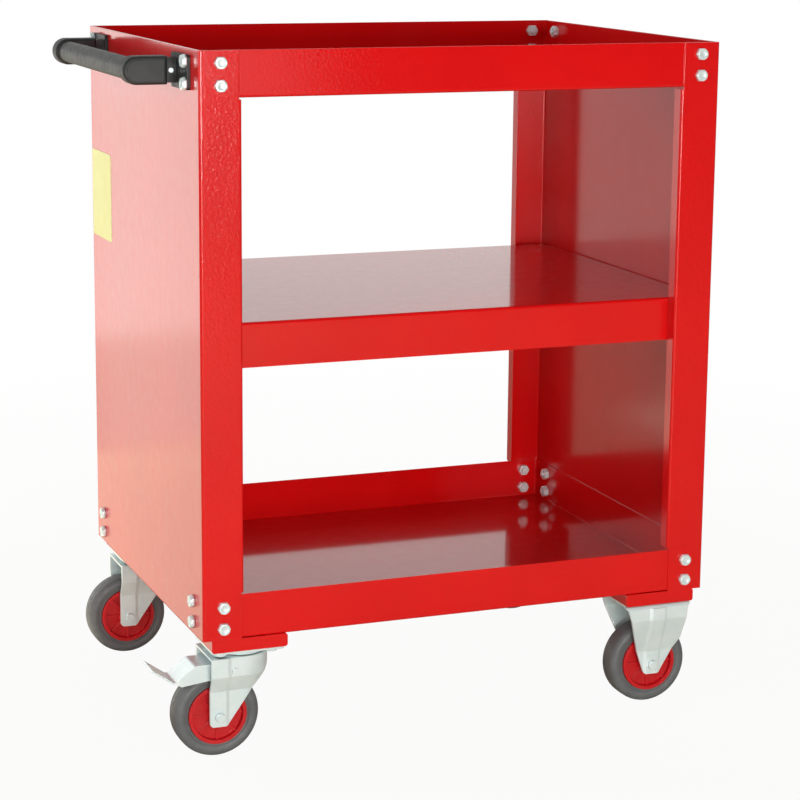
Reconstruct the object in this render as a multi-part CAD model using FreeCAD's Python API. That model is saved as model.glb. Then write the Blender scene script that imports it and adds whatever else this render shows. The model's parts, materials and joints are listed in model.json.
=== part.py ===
import FreeCAD, Part
import math
import os

# Utility cart in millimetres: X runs along the length with the handle at -X, Y runs to the back, Z is up.
# The wheels stand on Z = 0 and the origin is the middle of the whole cart's footprint.

# Body
cart_length = 625.0  # outer face to outer face of the side panels
cart_depth = 475.0  # front flange face to rear flange face
panel_height = 654.0
panel_sheet = 1.5
panel_fold = 1.5  # inside radius of the panel folds
flange_width = 48.0
lip_depth = 17.0  # return lip on the inner edge of each flange, measured from the flange face
lip_end_gap = 2.0  # the lips stop this far from the trays

# Trays
tray_height = 51.0
tray_sheet = 1.2
tray_corner = 5.0  # outside radius of the upright corners
tray_fold = 2.6  # outside radius of the fold between wall and floor

# Middle shelf
shelf_level = 355.0  # top face above the lower edge of the panels
shelf_wall = 50.5
shelf_sheet = 1.2
shelf_corner = 4.0
shelf_fold = 3.0
shelf_lip_gap = 0.8  # between the shelf wall and the return lips
stud_spacing = 290.0  # weld studs that carry the shelf, along Y
stud_radius = 3.0
stud_length = 12.0
stud_hole_gap = 0.3
stud_nut_flats = 10.0
stud_nut_height = 5.2

# Tray bolts and nuts
bolt_radius = 4.0
bolt_hole_gap = 0.5
bolt_flats = 13.0
bolt_head_height = 5.3
bolt_dish_radius = 4.0
bolt_dish_depth = 0.9
hexagon_chamfer = 0.6  # on the corners of bolt heads and nuts
bolt_tail = 2.0  # thread beyond the nut
bolt_pitch = 24.4  # between the two bolts of a pair
flange_bolt_inset = 24.0  # from the outer face of the panel
side_bolt_inset = 37.0  # from the face of the flange
nut_height = 6.5
nut_bore_gap = 0.05

# Caster channels
channel_inset = 10.5  # from the outer face of the panel
channel_width = 89.0
channel_height = 15.0
channel_sheet = 2.0
channel_fold = 1.0
channel_rim = 14.0
channel_end_inset = 0.5  # from the flange faces

# Casters in general
caster_height = 131.0
caster_inset = 40.0  # middle of the plate from the face of the flange
plate_margin = 2.0  # channel beyond the ends of the plate, along X
plate_width = 75.0  # along Y
plate_corner = 7.0
hole_margin = 12.5  # middle of the bolt holes from the ends of the plate, along X
hole_width = 45.0  # between the bolt holes along Y

# Wheels
crown_gap = 18.5  # between the tyre and the crown of the swivel fork
tyre_width = 30.0
tread_width = 15.0
tyre_bead_width = 27.0
hub_share = 0.68  # radius of the hub's rim over the radius of the wheel
hub_rim_thickness = 4.0
hub_rim_width = 33.0
hub_boss_radius = 11.5
hub_length = 36.0
hub_web = 22.0
hub_rib_count = 8
hub_rib_thickness = 2.6
hub_rib_width = 26.0
tyre_bond_gap = 0.02
axle_radius = 3.0
axle_flats = 10.0
axle_head = 4.0
axle_nut = 5.2
axle_hole_gap = 0.1
axle_tail = 2.0
sleeve_wall = 3.0
sleeve_gap = 0.05
hub_running_gap = 0.06

# Forks
leg_gap = 40.0  # clear width between the legs at the axle
leg_end_half = 11.5  # half of the leg's width at the axle
leg_end_corner = 5.0
leg_band_rise = 1.6  # pressed band that stands proud of the leg
leg_band_slope = 4.0  # width of the band's sloping edges

# Swivel casters
swivel_sheet = 2.5
swivel_plate_sheet = 3.0
swivel_head = 7.0  # between the plate and the crown of the fork
crown_width = 62.0
crown_straight = 22.0  # upright part of the fork below its crown
leg_straight = 30.0  # upright part of the leg above the axle
swivel_skirt = 12.0  # height of the fork's leading skirt below its crown
shoulder_reach = 40.0  # corner of the leading edge, ahead of the axle
shoulder_height = 32.0  # the same corner above the axle
race_inner = 15.0
race_outer = 24.0
race_height = 2.3
ball_circle = 19.5
ball_radius = 2.5
ball_count = 20
ball_gap = 0.08
collar_gap = 1.0  # between the races and the dust collar
collar_wall = 2.0
collar_drop = 6.2
king_radius = 5.0
king_plate_gap = 0.02
king_running_gap = 0.06
king_nut_flats = 17.0
king_nut_height = 7.0
king_nut_play = 0.3
king_tail = 2.0

# Fixed casters
fixed_sheet = 3.0
fixed_fold = 4.0  # inside radius
fixed_leg_straight = 20.0  # upright part of the leg below the top of the plate
fixed_leg_foot = 18.0  # upright part of the leg above the axle
fixed_leg_margin = 2.5  # plate beyond the top of the leg at each end, along X
fixed_plate_drop = 6.0  # where the leg starts to taper, below the top of the plate
fixed_shoulder_reach = 35.5  # corner of the leg's outer edge, ahead of the axle
fixed_shoulder_height = 32.0  # the same corner above the axle

# Foot brake on the front left caster
brake_pivot_ahead = 16.5  # from the axle, towards the swivel axis
brake_pivot_rise = 5.0  # above the top of the tyre
brake_pin_radius = 2.5
brake_pin_head = 4.0
brake_pin_head_height = 1.6
brake_pin_gap = 0.06
brake_width = 38.4
brake_sheet = 2.0
brake_fold = 3.5
brake_travel = 7.0  # degrees from released to locked
brake_top_rise = 12.0  # top face of the lever above the top of the tyre
brake_step_start = 27.0  # behind the axle
brake_step_end = 51.0
brake_step_drop = 5.5  # below the top of the tyre
brake_tip_reach = 76.5
brake_tip_rise = 12.5  # above the top of the tyre
brake_toe_drop = 11.0  # lower edge of the lever's cheeks below the top of the tyre
brake_toe_inset = 8.0  # toe of the cheeks ahead of the end of the step
brake_edge_rise = 4.0  # lower edge at the fork leg above the toe
brake_edge_drop = 14.0  # lower edge at the axle below the pivot
brake_ear_margin = 3.0  # sheet round the head of the pin
brake_shoe_inset = 3.5  # from the first bend of the lever
brake_shoe_length = 14.0
brake_shoe_width = 24.0
brake_shoe_gap = 0.4  # shoe to tread at the end of the travel

# Push handle on the left panel
handle_spacing = 314.0  # middle to middle of the arms
handle_reach = 64.0
handle_drop = 25.5  # tube axis below the top of the panels
arm_height = 31.0
arm_width = 24.0
arm_edge = 3.5
foot_height = 38.0
foot_margin = 6.5  # foot beyond the middle of its bolts
foot_thickness = 4.0
neck_height = 27.0
neck_width = 17.0
neck_reach = 14.5
tube_radius = 12.5
tube_wall = 1.5
tube_socket = 15.0
tube_socket_gap = 0.1
cover_margin = 4.0
cover_rise = 1.4
grub_radius = 2.0
grub_head_radius = 2.8
grub_head_height = 1.4
grub_length = 7.0
grub_reach = 10.0  # from the panel
grub_gap = 0.05

# Blank sticker on the left panel
sticker_width = 91.0
sticker_height = 107.5
sticker_thickness = 0.2
sticker_corner = 4.0
sticker_low = 395.0  # above the lower edge of the panel
sticker_rear_gap = 4.5  # from the rear flange face

# Derived sizes and positions
left = (handle_reach - bolt_head_height - cart_length) / 2.0
right = left + cart_length
front = -cart_depth / 2.0
back = cart_depth / 2.0
panel_bottom = caster_height + channel_height
panel_top = panel_bottom + panel_height
shelf_top = panel_bottom + shelf_level
tray_floors = {"bottom_tray": panel_bottom, "top_tray": panel_top - tray_height}
bolt_hole = bolt_radius + bolt_hole_gap
plate_length = channel_width - 2.0 * plate_margin
hole_length = plate_length - 2.0 * hole_margin
trail = plate_length / 2.0 - leg_end_half  # axle behind the swivel axis
swivel_plate_bottom = caster_height - swivel_plate_sheet
crown_top = swivel_plate_bottom - swivel_head
wheel_radius = (crown_top - swivel_sheet - crown_gap) / 2.0
hub_rim_radius = hub_share * wheel_radius
axle_level = wheel_radius
brake_pivot_above = wheel_radius + brake_pivot_rise
brake_top = wheel_radius + brake_top_rise
brake_step_height = wheel_radius - brake_step_drop
brake_tip_height = wheel_radius + brake_tip_rise
brake_cheek_toe = wheel_radius - brake_toe_drop
leg_inner = leg_gap / 2.0
caster_x = channel_inset + channel_width / 2.0
handle_level = panel_top - handle_drop


def at(x, y, z):
    return FreeCAD.Vector(x, y, z)


def block(low, high):
    return Part.makeBox(high[0] - low[0], high[1] - low[1], high[2] - low[2], at(*low))


def joined(first, *others):
    return first.fuse(list(others)).removeSplitter()


def rod(radius, start, direction, length):
    return Part.makeCylinder(radius, length, at(*start), at(*direction))


def placed(shape, start, direction):
    """Copy of a shape built along +Z, moved so that +Z runs along the direction from the start."""
    copy = shape.copy()
    copy.Placement = FreeCAD.Placement(at(*start), FreeCAD.Rotation(at(0, 0, 1), at(*direction)))
    return copy


def polygon(points, to_space):
    corners = [to_space(*point) for point in points]
    return Part.Face(Part.makePolygon(corners + corners[:1]))


def turned(points):
    """Solid turned about +Z from points of (radius, height)."""
    face = polygon(points, lambda radius, height: at(radius, 0, height))
    return face.revolve(at(0, 0, 0), at(0, 0, 1), 360)


def hexagon(flats, low, high):
    corner = flats / math.sqrt(3.0)
    points = []
    for index in range(6):
        angle = math.radians(60 * index)
        points.append((corner * math.cos(angle), corner * math.sin(angle)))
    return polygon(points, lambda x, y: at(x, y, low)).extrude(at(0, 0, high - low))


def rounded_rectangle(low, high, radius, level):
    """Flat face with rounded corners between two (x, y) corners."""
    block_face = block((low[0], low[1], level), (high[0], high[1], level + 1.0))
    uprights = [edge for edge in block_face.Edges if edge.BoundBox.ZLength > 0.5]
    rounded = block_face.makeFillet(radius, uprights)
    return [face for face in rounded.Faces if face.BoundBox.ZMax < level + 0.5][0]


def rounded_block(low, high, corner, fold):
    """Block with rounded upright corners and a rounded lower rim."""
    face = rounded_rectangle(low[:2], high[:2], corner, low[2])
    solid = face.extrude(at(0, 0, high[2] - low[2]))
    rim = [edge for edge in solid.Edges if edge.BoundBox.ZMax < low[2] + 0.001]
    return solid.makeFillet(fold, rim)


def pan(low, high, sheet, corner, fold):
    """Open folded pan: floor at the lower corner's level, walls all round."""
    outer = rounded_block(low, high, corner, fold)
    inside_low = (low[0] + sheet, low[1] + sheet, low[2] + sheet)
    inside_high = (high[0] - sheet, high[1] - sheet, high[2] + 1.0)
    return outer.cut(rounded_block(inside_low, inside_high, corner - sheet, fold - sheet))


def unit(first, second):
    length = math.hypot(second[0] - first[0], second[1] - first[1])
    return ((second[0] - first[0]) / length, (second[1] - first[1]) / length)


def side_edges(points, radii, to_space):
    """Edges along a line of points, rounded at each inner point."""
    edges = []
    start = points[0]
    for index in range(1, len(points) - 1):
        before = unit(points[index - 1], points[index])
        after = unit(points[index], points[index + 1])
        cross = before[0] * after[1] - before[1] * after[0]
        turn = math.atan2(cross, before[0] * after[0] + before[1] * after[1])
        radius = radii[index]
        reach = radius * math.tan(abs(turn) / 2.0)
        side = math.copysign(1.0, turn)
        entry = (points[index][0] - before[0] * reach, points[index][1] - before[1] * reach)
        leave = (points[index][0] + after[0] * reach, points[index][1] + after[1] * reach)
        centre = (entry[0] - side * before[1] * radius, entry[1] + side * before[0] * radius)
        outward = unit(centre, points[index])
        middle = (centre[0] + outward[0] * radius, centre[1] + outward[1] * radius)
        edges.append(Part.makeLine(to_space(*start), to_space(*entry)))
        edges.append(Part.Arc(to_space(*entry), to_space(*middle), to_space(*leave)).toShape())
        start = leave
    edges.append(Part.makeLine(to_space(*start), to_space(*points[-1])))
    return edges


def folded(points, sheet, fold, to_space):
    """Section of a folded sheet: the points run along one face and the sheet lies to their left."""
    count = len(points)
    normals = []
    for index in range(count - 1):
        along = unit(points[index], points[index + 1])
        normals.append((-along[1], along[0]))
    other = []
    near_radii = [0.0] * count
    far_radii = [0.0] * count
    for index in range(count):
        first = normals[max(index - 1, 0)]
        second = normals[min(index, count - 2)]
        share = sheet / (1.0 + first[0] * second[0] + first[1] * second[1])
        offset = (share * (first[0] + second[0]), share * (first[1] + second[1]))
        other.append((points[index][0] + offset[0], points[index][1] + offset[1]))
        left_turn = first[0] * second[1] - first[1] * second[0] > 0
        near_radii[index] = fold + sheet if left_turn else fold
        far_radii[index] = fold if left_turn else fold + sheet
    edges = side_edges(points, near_radii, to_space)
    edges.append(Part.makeLine(to_space(*points[-1]), to_space(*other[-1])))
    edges += side_edges(other[::-1], far_radii[::-1], to_space)
    edges.append(Part.makeLine(to_space(*other[0]), to_space(*points[0])))
    return Part.Face(Part.Wire(edges))


def mirrored(shape, normal):
    return shape.mirror(at(0, 0, 0), at(*normal))


def chamfered_hexagon(flats, low, high, chamfer):
    """Hexagon along +Z with its far corners turned off."""
    corner = flats / math.sqrt(3.0)
    limit = turned([(0, low), (corner, low), (corner, high - chamfer), (flats / 2.0 - 0.2, high), (0, high)])
    return hexagon(flats, low, high).common(limit)


def hex_bolt(flats, head, radius, length):
    """Hexagon bolt along +Z: the head stands below Z = 0."""
    cap = placed(chamfered_hexagon(flats, 0, head, hexagon_chamfer), (0, 0, 0), (0, 0, -1))
    return joined(cap, Part.makeCylinder(radius, length))


def hex_nut(flats, height, bore):
    """Hexagon nut that bears on Z = 0 and stands up from it."""
    solid = chamfered_hexagon(flats, 0, height, hexagon_chamfer)
    return solid.cut(Part.makeCylinder(bore, height + 2.0, at(0, 0, -1.0)))


def dished_bolt(length):
    """Hexagon bolt along +Z with a shallow dish pressed into its head."""
    dish = Part.makeCylinder(bolt_dish_radius, bolt_dish_depth + 1.0, at(0, 0, -bolt_head_height - 1.0))
    return hex_bolt(bolt_flats, bolt_head_height, bolt_radius, length).cut(dish)


def save(name, *solids):
    shape = solids[0] if len(solids) == 1 else Part.makeCompound(list(solids))
    shape.exportStep("parts/" + name + ".step")


os.makedirs("parts", exist_ok=True)

# Where the tray bolts sit: start point on the outer face and direction inward
bolt_levels = []
for floor in tray_floors.values():
    middle = floor + tray_height / 2.0
    bolt_levels += [middle - bolt_pitch / 2.0, middle + bolt_pitch / 2.0]
flange_seats = []
side_seats = []
for level in bolt_levels:
    for x in (left + flange_bolt_inset, right - flange_bolt_inset):
        flange_seats.append(((x, front, level), (0, 1, 0)))
        flange_seats.append(((x, back, level), (0, -1, 0)))
    for y in (front + side_bolt_inset, back - side_bolt_inset):
        side_seats.append(((left, y, level), (1, 0, 0)))
        side_seats.append(((right, y, level), (-1, 0, 0)))
tray_seats = flange_seats + side_seats
tray_grip = panel_sheet + tray_sheet

# The upper pairs on the left panel also hold the handle arms, so their heads stand on the arms' feet
handle_seats = [seat for seat in side_seats if seat[0][0] == left and seat[0][2] > panel_top - tray_height]
plain_side_seats = [seat for seat in side_seats if seat not in handle_seats]
arm_sides = {"front": -handle_spacing / 2.0, "rear": handle_spacing / 2.0}

# Where the shelf studs stand: on the inner face of each panel
stud_level = shelf_top - shelf_wall / 2.0
stud_seats = []
for y in (-stud_spacing / 2.0, stud_spacing / 2.0):
    stud_seats.append(((left + panel_sheet, y, stud_level), (1, 0, 0)))
    stud_seats.append(((right - panel_sheet, y, stud_level), (-1, 0, 0)))


def bolt_holes(seats):
    spare = foot_thickness + 1.0
    length = spare + tray_grip + 1.0
    return [rod(bolt_hole, [s - spare * d for s, d in zip(start, way)], way, length) for start, way in seats]


def panel():
    """Left side panel: a web with two flanges, each with a return lip between the trays."""
    outline = [(flange_width, lip_depth), (flange_width, 0), (0, 0), (0, cart_depth),
               (flange_width, cart_depth), (flange_width, cart_depth - lip_depth)]
    section = folded(outline[::-1], panel_sheet, panel_fold,
                     lambda x, y: at(left + x, front + y, panel_bottom))
    shape = section.extrude(at(0, 0, panel_height))
    lip_start = flange_width - panel_sheet - panel_fold
    for floor in tray_floors.values():
        for low_y, high_y in ((front - 1, front + lip_depth + 1), (back - lip_depth - 1, back + 1)):
            notch = block((left + lip_start, low_y, floor - lip_end_gap),
                          (left + flange_width + 1, high_y, floor + tray_height + lip_end_gap))
            shape = shape.cut(notch)
    return shape


shift = left + right
left_seats = [seat for seat in tray_seats if seat[0][0] < shift / 2.0]
left_panel = panel().cut(bolt_holes(left_seats))
right_panel = mirrored(left_panel, (1, 0, 0))
right_panel.translate(at(shift, 0, 0))
save("left_side_panel", left_panel)
save("right_side_panel", right_panel)

# Trays
tray_low = (left + panel_sheet, front + panel_sheet)
tray_high = (right - panel_sheet, back - panel_sheet)
for name, floor in tray_floors.items():
    tray = pan((*tray_low, floor), (*tray_high, floor + tray_height), tray_sheet, tray_corner, tray_fold)
    own_seats = [seat for seat in tray_seats if floor < seat[0][2] < floor + tray_height]
    save(name, tray.cut(bolt_holes(own_seats)))

# Middle shelf: the same kind of pan turned over
shelf_low = (left + panel_sheet, front + lip_depth + shelf_lip_gap)
shelf_high = (right - panel_sheet, back - lip_depth - shelf_lip_gap)
shelf = pan((*shelf_low, 0), (*shelf_high, shelf_wall), shelf_sheet, shelf_corner, shelf_fold)
shelf.rotate(at(shift / 2.0, 0, 0), at(1, 0, 0), 180)
shelf.translate(at(0, 0, shelf_top))
stud_holes = [rod(stud_radius + stud_hole_gap, start, way, stud_length) for start, way in stud_seats]
save("middle_shelf", shelf.cut(stud_holes))
save("shelf_studs", *[rod(stud_radius, start, way, stud_length) for start, way in stud_seats])
stud_nut = hex_nut(stud_nut_flats, stud_nut_height, stud_radius + nut_bore_gap)
stud_nuts = []
for start, way in stud_seats:
    stud_nuts.append(placed(stud_nut, (start[0] + way[0] * shelf_sheet, start[1], start[2]), way))
save("shelf_nuts", *stud_nuts)

# Tray bolts and nuts
tray_bolt = dished_bolt(tray_grip + nut_height + bolt_tail)
plain_nut = hex_nut(bolt_flats, nut_height, bolt_radius + nut_bore_gap)
save("flange_bolts", *[placed(tray_bolt, start, way) for start, way in flange_seats])
save("side_bolts", *[placed(tray_bolt, start, way) for start, way in plain_side_seats])
handle_bolt = dished_bolt(foot_thickness + tray_grip + nut_height + bolt_tail)
handle_bolts = []
for (x, y, z), way in handle_seats:
    handle_bolts.append(placed(handle_bolt, (x - foot_thickness, y, z), way))
save("handle_bolts", *handle_bolts)
for name, seats in (("flange_nuts", flange_seats), ("side_nuts", side_seats)):
    nuts = []
    for start, way in seats:
        nuts.append(placed(plain_nut, [s + d * tray_grip for s, d in zip(start, way)], way))
    save(name, *nuts)

# Casters: swivel ones at the handle end, fixed ones at the far end
swivel_spots = {"front_left": (left + caster_x, front + caster_inset),
                "rear_left": (left + caster_x, back - caster_inset)}
fixed_spots = {"front_right": (right - caster_x, front + caster_inset),
               "rear_right": (right - caster_x, back - caster_inset)}
plate_offsets = []
for across in (-hole_length / 2.0, hole_length / 2.0):
    for along in (-hole_width / 2.0, hole_width / 2.0):
        plate_offsets.append((across, along))
plate_holes = []
for x, y in list(swivel_spots.values()) + list(fixed_spots.values()):
    plate_holes += [(x + across, y + along) for across, along in plate_offsets]

# Caster channels
for name, low_x in (("left_caster_channel", left + channel_inset),
                    ("right_caster_channel", right - channel_inset - channel_width)):
    end_low = front + channel_end_inset
    end_high = back - channel_end_inset
    outline = [(channel_rim, channel_height), (0, channel_height), (0, 0), (channel_width, 0),
               (channel_width, channel_height), (channel_width - channel_rim, channel_height)]
    section = folded(outline, channel_sheet, channel_fold,
                     lambda x, z: at(low_x + x, end_low, caster_height + z))
    channel = section.extrude(at(0, end_high - end_low, 0))
    inside = 0.75 * channel_sheet
    for low_y in (end_low, end_high - channel_sheet):
        closing = block((low_x + inside, low_y, caster_height + inside),
                        (low_x + channel_width - inside, low_y + channel_sheet, panel_bottom))
        channel = joined(channel, closing)
    for x, y in plate_holes:
        if low_x < x < low_x + channel_width:
            channel = channel.cut(rod(bolt_hole, (x, y, caster_height - 1), (0, 0, 1), channel_sheet + 2))
    save(name, channel)


def fork_profile(points, middle_x):
    """Slab across the whole fork from points of (x, z) about the axle, with a rounded square end there."""
    wide = plate_width
    slab = polygon(points, lambda x, z: at(middle_x + x, -wide, axle_level + z)).extrude(at(0, 2 * wide, 0))
    end = block((middle_x - leg_end_half, -wide, axle_level - leg_end_half),
                (middle_x + leg_end_half, wide, axle_level + leg_end_half))
    lower = [edge for edge in end.Edges if edge.BoundBox.YLength > wide and edge.BoundBox.ZMax < axle_level]
    return joined(slab, end.makeFillet(leg_end_corner, lower))


def tangent_point(corner):
    """Point where the line from a corner touches the rounded lower corner of the leg on the side of +X."""
    reach = leg_end_half - leg_end_corner
    across = corner[0] - reach
    along = corner[1] + reach
    angle = math.atan2(along, across) - math.acos(leg_end_corner / math.hypot(across, along))
    return (reach + leg_end_corner * math.cos(angle), leg_end_corner * math.sin(angle) - reach)


def axle_bore(middle_x):
    return rod(axle_radius + axle_hole_gap, (middle_x, -plate_width, axle_level), (0, 1, 0), 2 * plate_width)


def hub():
    """Plastic hub about +Z: boss, web, rim and ribs."""
    bore = axle_radius + sleeve_gap + sleeve_wall + hub_running_gap
    rim_inner = hub_rim_radius - hub_rim_thickness
    half = [(bore, hub_length / 2.0), (hub_boss_radius - 1.0, hub_length / 2.0),
            (hub_boss_radius, hub_web / 2.0), (rim_inner - 1.0, hub_web / 2.0),
            (rim_inner, hub_rim_width / 2.0), (hub_rim_radius, hub_rim_width / 2.0)]
    shape = turned(half + [(radius, -height) for radius, height in half[::-1]])
    for index in range(hub_rib_count):
        rib = block((hub_boss_radius - 1.5, -hub_rib_thickness / 2.0, -hub_rib_width / 2.0),
                    (rim_inner + 0.5, hub_rib_thickness / 2.0, hub_rib_width / 2.0))
        rib.rotate(at(0, 0, 0), at(0, 0, 1), 360.0 * index / hub_rib_count)
        shape = shape.fuse(rib)
    return shape.removeSplitter()


def tyre():
    """Rubber tyre about +Z with rounded shoulders."""
    inner = hub_rim_radius + tyre_bond_gap
    bead = tyre_bead_width / 2.0
    half_width = tyre_width / 2.0
    tread = tread_width / 2.0
    shoulder = half_width - tread
    centre = wheel_radius - shoulder
    slant = shoulder * math.sqrt(0.5)
    edges = [Part.makeLine(at(inner, 0, -bead), at(inner, 0, bead))]
    edges.append(Part.makeLine(at(wheel_radius, 0, tread), at(wheel_radius, 0, -tread)))
    for side in (-1, 1):
        wall_end = at(centre, 0, side * half_width)
        edges.append(Part.makeLine(at(inner, 0, side * bead), wall_end))
        middle = at(centre + slant, 0, side * (tread + slant))
        edges.append(Part.Arc(wall_end, middle, at(wheel_radius, 0, side * tread)).toShape())
    section = Part.Face(Part.Wire(Part.__sortEdges__(edges)))
    return section.revolve(at(0, 0, 0), at(0, 0, 1), 360)


hub_shape = hub()
tyre_shape = tyre()


def save_wheel(name, middle_x, middle_y, outer):
    """Hub, tyre, sleeve, axle bolt and axle nut; outer is the outer face of the legs from the middle."""
    middle = (middle_x, middle_y, axle_level)
    save(name + "_hub", placed(hub_shape, middle, (0, 1, 0)))
    save(name + "_tyre", placed(tyre_shape, middle, (0, 1, 0)))
    sleeve_start = (middle_x, middle_y - leg_inner, axle_level)
    bore = axle_radius + sleeve_gap
    sleeve = rod(bore + sleeve_wall, sleeve_start, (0, 1, 0), leg_gap)
    save(name + "_axle_sleeve", sleeve.cut(rod(bore, sleeve_start, (0, 1, 0), leg_gap)))
    bolt = hex_bolt(axle_flats, axle_head, axle_radius, 2 * outer + axle_nut + axle_tail)
    save(name + "_axle_bolt", placed(bolt, (middle_x, middle_y - outer, axle_level), (0, 1, 0)))
    nut = hex_nut(axle_flats, axle_nut, axle_radius + nut_bore_gap)
    save(name + "_axle_nut", placed(nut, (middle_x, middle_y + outer, axle_level), (0, 1, 0)))


# Swivel casters, each built about its swivel axis
ball_level = (swivel_plate_bottom + crown_top) / 2.0
fork_half = leg_inner + swivel_sheet
brake_pivot = (-trail + brake_pivot_ahead, axle_level + brake_pivot_above)


def ring(inner, outer, low, high):
    return turned([(inner, low), (outer, low), (outer, high), (inner, high)])


def ball_groove():
    return Part.makeTorus(ball_circle, ball_radius + ball_gap, at(0, 0, ball_level))


def swivel_plate():
    corner = (plate_length / 2.0, plate_width / 2.0)
    face = rounded_rectangle((-corner[0], -corner[1]), corner, plate_corner, swivel_plate_bottom)
    plate = face.extrude(at(0, 0, swivel_plate_sheet))
    race = ring(race_inner, race_outer, swivel_plate_bottom - race_height, swivel_plate_bottom)
    collar_inner = race_outer + collar_gap
    collar_low = swivel_plate_bottom - collar_drop
    collar = ring(collar_inner, collar_inner + collar_wall, collar_low, swivel_plate_bottom)
    plate = joined(plate, race, collar).cut(ball_groove())
    plate = plate.cut(rod(king_radius + king_plate_gap, (0, 0, 0), (0, 0, 1), caster_height + 1))
    return plate.cut([rod(bolt_hole, (x, y, 0), (0, 0, 1), caster_height + 1) for x, y in plate_offsets])


def fork_section(half, level, tail):
    """Closed outline with a round end about the swivel axis and a flat end behind it."""
    corners = [at(0, half, level), at(tail, half, level), at(tail, -half, level), at(0, -half, level)]
    edges = [Part.makeLine(corners[index], corners[index + 1]) for index in range(3)]
    edges.append(Part.Arc(corners[3], at(half, 0, level), corners[0]).toShape())
    return Part.Wire(edges)


def band_section(half, level, tail):
    """Closed outline of the band pressed out of the legs, with sloping leading edges."""
    end = -trail + leg_end_half
    proud = half + leg_band_rise
    side = [(tail, proud), (end - leg_band_slope, proud), (end, half)]
    corners = [at(x, y, level) for x, y in side + [(x, -y) for x, y in side[::-1]]]
    return Part.makePolygon(corners + corners[:1])


def fork_solid(outline, growth, tail, low, top):
    """Filled fork shape: wide crown, sloping sides and narrow legs, grown sideways by the given amount."""
    wide = crown_width / 2.0 + growth
    narrow = fork_half + growth
    waist = axle_level + leg_straight
    hips = crown_top - crown_straight
    legs = Part.Face(outline(narrow, low, tail)).extrude(at(0, 0, waist - low))
    slope = Part.makeLoft([outline(narrow, waist, tail), outline(wide, hips, tail)], True, True)
    crown = Part.Face(outline(wide, hips, tail)).extrude(at(0, 0, top - hips))
    return joined(legs, slope, crown)


def swivel_fork(with_brake):
    low = axle_level - leg_end_half
    tail = -trail - leg_end_half
    hollow = fork_solid(fork_section, -swivel_sheet, tail - 1, low - 1, crown_top - swivel_sheet)
    rise = crown_top - axle_level
    corner = (shoulder_reach, shoulder_height)
    lead = trail + crown_width
    points = [(-leg_end_half, 0), (-leg_end_half, rise), (lead, rise), (lead, rise - swivel_skirt),
              (trail + crown_width / 2.0, rise - swivel_skirt), corner, tangent_point(corner), (0, 0)]
    profile = fork_profile(points, -trail)
    shape = fork_solid(fork_section, 0, tail, low, crown_top).cut(hollow).common(profile)
    band = fork_solid(band_section, 0, tail, low, crown_top).cut(hollow).common(profile)
    shape = joined(shape, band, ring(race_inner, race_outer, crown_top, crown_top + race_height))
    shape = shape.cut(ball_groove()).cut(axle_bore(-trail))
    shape = shape.cut(rod(king_radius + king_running_gap, (0, 0, low), (0, 0, 1), caster_height))
    if with_brake:
        pin_start = (brake_pivot[0], -plate_width, brake_pivot[1])
        shape = shape.cut(rod(brake_pin_radius + brake_pin_gap, pin_start, (0, 1, 0), 2 * plate_width))
    return shape


def balls():
    solids = []
    for index in range(ball_count):
        angle = 2 * math.pi * index / ball_count
        spot = at(ball_circle * math.cos(angle), ball_circle * math.sin(angle), ball_level)
        solids.append(Part.makeSphere(ball_radius, spot))
    return Part.makeCompound(solids)


king_nut_top = crown_top - swivel_sheet - king_nut_play
king_end = king_nut_top - king_nut_height - king_tail
king_nut = hex_nut(king_nut_flats, king_nut_height, king_radius + nut_bore_gap)
for name, (x, y) in swivel_spots.items():
    pieces = {
        "_swivel_plate": swivel_plate(),
        "_swivel_balls": balls(),
        "_fork": swivel_fork(name == "front_left"),
        "_king_pin": rod(king_radius, (0, 0, king_end), (0, 0, 1), caster_height - king_end),
        "_king_nut": placed(king_nut, (0, 0, king_nut_top), (0, 0, -1)),
    }
    for suffix, piece in pieces.items():
        piece.translate(at(x, y, 0))
        save(name + suffix, piece)
    save_wheel(name, x - trail, y, fork_half + leg_band_rise)

# Fixed casters, each built about the middle of its plate
fixed_outer = leg_inner + fixed_sheet


def fixed_fork():
    under = caster_height - fixed_sheet
    spread = plate_width / 2.0 - fixed_sheet
    low = axle_level - leg_end_half
    foot = axle_level + fixed_leg_foot
    knee = caster_height - fixed_leg_straight
    half = [(spread, under), (spread, knee), (leg_inner, foot), (leg_inner, low)]
    inner_face = [(-y, z) for y, z in half[::-1]] + half
    half_plate = plate_length / 2.0

    def section(x, sheet):
        return folded(inner_face, sheet, fixed_fold, lambda y, z: at(x, y, z))

    rise = caster_height - axle_level
    taper = (half_plate - fixed_leg_margin, rise - fixed_plate_drop)
    shoulder = (fixed_shoulder_reach, fixed_shoulder_height)
    upper = [(half_plate, rise + 1), (half_plate, rise - fixed_sheet - 1), taper]
    straight_edge = upper + [tangent_point(taper)]
    points = upper + [shoulder, tangent_point(shoulder), (0, 0)]
    points += [(-x, z) for x, z in straight_edge[::-1]]
    shape = section(-half_plate, fixed_sheet).extrude(at(plate_length, 0, 0)).common(fork_profile(points, 0))
    flat_half = leg_end_half - leg_band_slope
    steps = [(-leg_end_half, 0), (-flat_half, leg_band_rise), (flat_half, leg_band_rise), (leg_end_half, 0)]
    band = Part.makeLoft([section(x, fixed_sheet + proud).OuterWire for x, proud in steps], True, True)
    band_top = caster_height - fixed_plate_drop
    band = band.common(block((-half_plate, -plate_width, 0), (half_plate, plate_width, band_top)))
    shape = joined(shape, band.common(fork_profile(points, 0)))
    holes = [rod(bolt_hole, (x, y, under - 1), (0, 0, 1), fixed_sheet + 2) for x, y in plate_offsets]
    return shape.cut(holes + [axle_bore(0)])


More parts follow.
